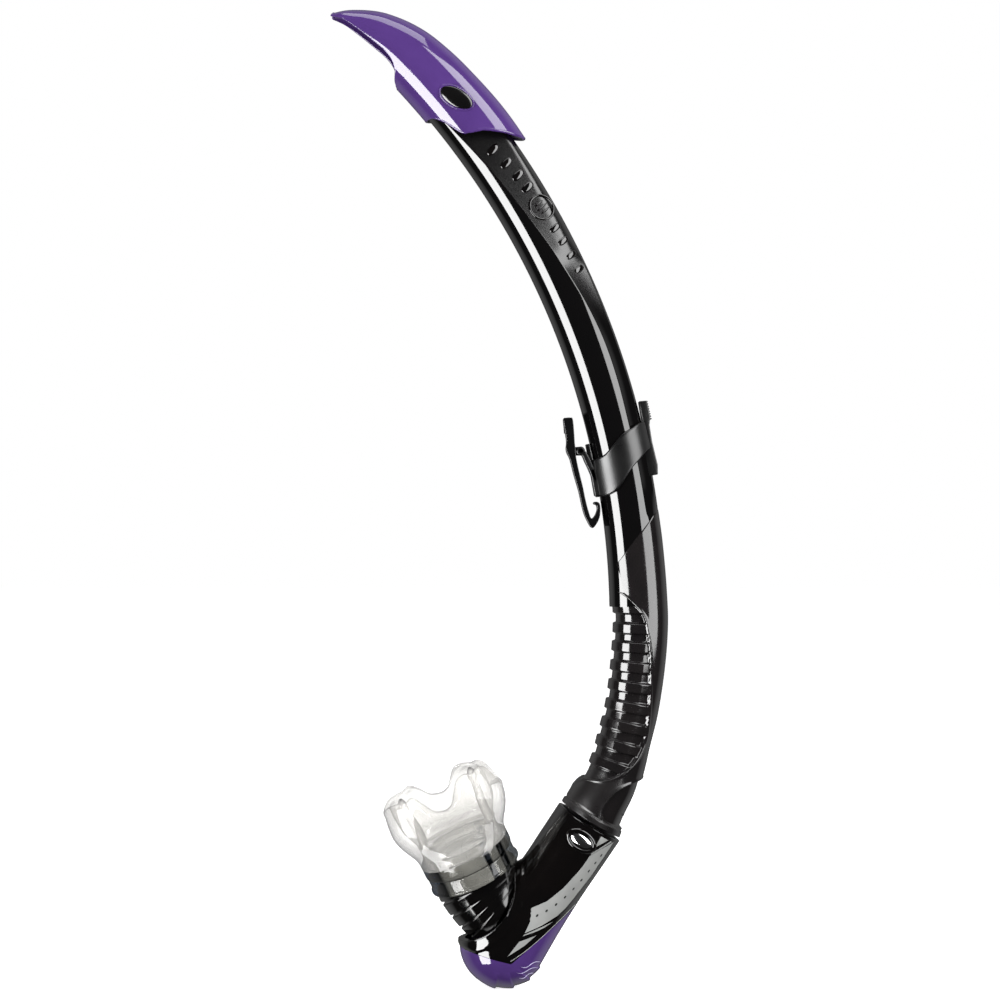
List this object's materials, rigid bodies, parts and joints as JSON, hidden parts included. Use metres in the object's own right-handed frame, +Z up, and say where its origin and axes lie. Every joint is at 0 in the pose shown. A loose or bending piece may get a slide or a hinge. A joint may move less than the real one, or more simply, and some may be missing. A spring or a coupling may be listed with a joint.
{
  "type": "snorkel",
  "caption": "Dive snorkel with a curved oval barrel, splash guard, sliding strap keeper, corrugated flex hose, purge chamber and swivelling clear mouthpiece.",
  "frame": {"origin": "centre of the flat strap seat on the keeper, where the mask's strap rests", "axes": "+Z up towards the splash guard with the snorkel as worn upright, -X forward towards the mouthpiece, Y across the barrel (the mouthpiece leans towards -Y)"},
  "size_m": [0.1518, 0.0437, 0.4393],
  "materials": {
    "purple_gloss": "glossy moulded purple plastic",
    "black_plastic": "plain black moulded plastic",
    "black_gloss": "polished black plastic",
    "black_silicone": "glossy black silicone rubber",
    "seal_rubber": "black seal rubber",
    "button_gloss": "polished black push button",
    "spring_steel": "stainless leaf spring",
    "silver_foil": "brushed silver inlay",
    "clear_silicone": "clear silicone rubber",
    "smoke_plastic": "smoky translucent plastic",
    "satin_plastic": "satin black moulded plastic"
  },
  "bodies": {
    "barrel": {"barrel_tube": "black_gloss", "splash_guard": "purple_gloss", "guard_collar": "black_plastic", "guard_plug_left": "black_plastic", "guard_plug_right": "black_plastic", "splash_baffle": "black_plastic", "flex_hose": "black_silicone"},
    "chamber": {"chamber_body": "black_gloss", "hose_coupling": "black_plastic", "coupling_o_ring": "seal_rubber", "button_spring": "spring_steel", "badge_left": "silver_foil", "badge_right": "silver_foil", "purge_seat": "black_plastic", "purge_cover": "purple_gloss"},
    "button_left": {"release_button_left": "button_gloss"},
    "button_right": {"release_button_right": "button_gloss"},
    "valve": {"purge_valve": "clear_silicone"},
    "swivel_base": {"swivel_lower_ring": "smoke_plastic", "elbow_bellows": "black_silicone"},
    "mouthpiece": {"mouthpiece": "clear_silicone", "swivel_upper_ring": "smoke_plastic", "swivel_seal": "seal_rubber"},
    "keeper": {"keeper_band": "satin_plastic", "keeper_pin": "satin_plastic"},
    "lever": {"keeper_lever": "satin_plastic"}
  },
  "joints": [
    {"name": "hose_flex", "type": "hinge", "parent": "barrel", "child": "chamber", "pos_m": [0.01761, 0, -0.09654], "axis": [0, 1, 0], "range_deg": [-25, 25], "stiffness_Nm_per_rad": 1.5, "deforming": ["flex_hose"]},
    {"name": "release_left", "type": "slide", "parent": "chamber", "child": "button_left", "axis": [0, 1, 0], "range_m": [0, 0.0014], "stiffness_N_per_m": 800},
    {"name": "release_right", "type": "slide", "parent": "chamber", "child": "button_right", "axis": [0, -1, 0], "range_m": [0, 0.0014], "stiffness_N_per_m": 800},
    {"name": "purge_open", "type": "slide", "parent": "chamber", "child": "valve", "axis": [0.6583, 0, -0.7527], "range_m": [0, 0.0012], "stiffness_N_per_m": 200},
    {"name": "elbow_flex", "type": "hinge", "parent": "chamber", "child": "swivel_base", "pos_m": [-0.04679, 0, -0.18604], "axis": [0, 1, 0], "range_deg": [-8, 5.5], "stiffness_Nm_per_rad": 0.8, "deforming": ["elbow_bellows"]},
    {"name": "mouthpiece_swivel", "type": "hinge", "parent": "swivel_base", "child": "mouthpiece", "pos_m": [-0.05289, 0, -0.17304], "axis": [-0.4108, -0.2079, 0.8877], "continuous": true},
    {"name": "keeper_slide", "type": "hinge", "parent": "barrel", "child": "keeper", "pos_m": [-0.34389, 0, -0.05954], "axis": [0, -1, 0], "range_deg": [-1.5, 8]},
    {"name": "lever_open", "type": "hinge", "parent": "keeper", "child": "lever", "pos_m": [-0.00559, 0, 0.01646], "axis": [0, 1, 0], "range_deg": [0, 14], "stiffness_Nm_per_rad": 0.3}
  ]
}
